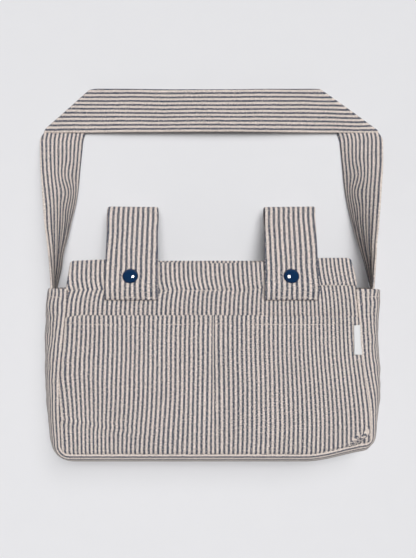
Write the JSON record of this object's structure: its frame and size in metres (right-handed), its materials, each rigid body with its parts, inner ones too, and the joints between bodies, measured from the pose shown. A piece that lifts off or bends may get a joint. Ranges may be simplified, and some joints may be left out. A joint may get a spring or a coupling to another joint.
{
  "type": "laundry bag",
  "caption": "Striped cotton bag with a gusset, a divided front pocket, a wide folded shoulder strap and press-stud tab loops, lying on its back.",
  "frame": {"origin": "middle of the footprint of the whole object, on the surface that it lies on", "axes": "+X to the wearer's right across the bag seen from its front, +Y from the base towards the strap, +Z from the back panel up to the front panel"},
  "size_m": [0.3568, 0.384, 0.0615],
  "materials": {
    "canvas": "matte woven cotton canvas, slate blue stripes on warm cream",
    "binding_tape": "matte cotton tape",
    "label_ribbon": "smooth white woven ribbon",
    "snap_enamel": "glossy navy enamel",
    "snap_metal": "satin nickel plate"
  },
  "bodies": {
    "bag": {"back_panel": "canvas", "front_panel": "canvas", "gusset": "canvas", "front_pocket": "canvas", "front_seam_binding": "binding_tape", "back_seam_binding": "binding_tape", "left_tab_loop": "canvas", "left_snap_stud": "snap_metal", "left_snap_post": "snap_enamel", "left_strap_anchor": "canvas", "right_tab_loop": "canvas", "right_snap_stud": "snap_metal", "right_snap_post": "snap_enamel", "right_strap_anchor": "canvas"},
    "left_tab": {"left_tab_flap": "canvas", "left_snap_cap": "snap_enamel", "left_snap_socket": "snap_metal"},
    "right_tab": {"right_tab_flap": "canvas", "right_snap_cap": "snap_enamel", "right_snap_socket": "snap_metal"},
    "strap": {"shoulder_strap": "canvas"},
    "label": {"seam_label": "label_ribbon"}
  },
  "joints": [
    {"name": "left_tab_fold", "type": "hinge", "parent": "bag", "child": "left_tab", "pos_m": [-0.079, 0.0589, 0.01407], "axis": [-1, 0, 0], "range_deg": [0, 110]},
    {"name": "right_tab_fold", "type": "hinge", "parent": "bag", "child": "right_tab", "pos_m": [0.079, 0.0589, 0.01407], "axis": [-1, 0, 0], "range_deg": [0, 110]},
    {"name": "strap_swing", "type": "hinge", "parent": "bag", "child": "strap", "pos_m": [0, -0.0015, 0.0265], "axis": [1, 0, 0], "range_deg": [0, 90]},
    {"name": "label_flip", "type": "hinge", "parent": "bag", "child": "label", "pos_m": [0.146, -0.0667, 0.0554], "axis": [0, 1, 0], "range_deg": [0, 140]}
  ]
}
